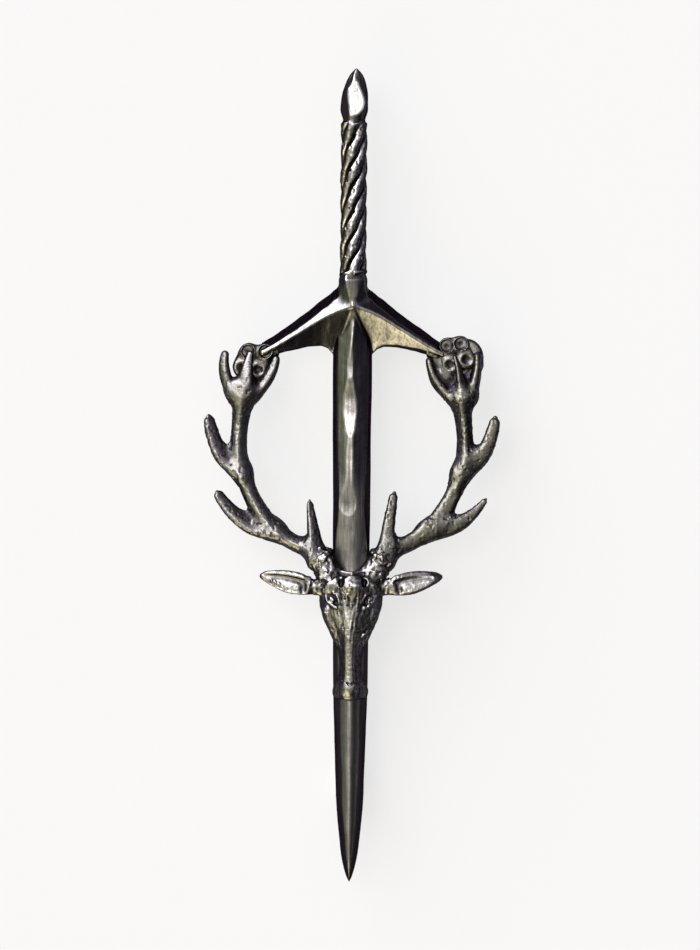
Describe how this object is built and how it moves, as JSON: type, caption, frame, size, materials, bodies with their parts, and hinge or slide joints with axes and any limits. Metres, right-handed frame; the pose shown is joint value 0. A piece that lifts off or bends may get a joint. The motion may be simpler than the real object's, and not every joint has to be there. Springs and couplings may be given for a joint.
{
  "type": "kilt pin",
  "caption": "Kilt pin shaped as a sword with a stag's head on its blade and antlers that meet the guard, with a plain bar pin behind.",
  "frame": {"origin": "below the middle of the overall length, on the surface that the feet of the bar pin rest on", "axes": "+Y along the sword from the blade's point to the pommel, +X across the blade, +Z the way the stag looks"},
  "size_m": [0.036, 0.1, 0.0111],
  "materials": {
    "casting_metal": "polished, darkened in the recesses",
    "pin_steel": "plated"
  },
  "bodies": {
    "root": {"casting": "casting_metal", "bar_pin": "pin_steel"}
  },
  "joints": []
}
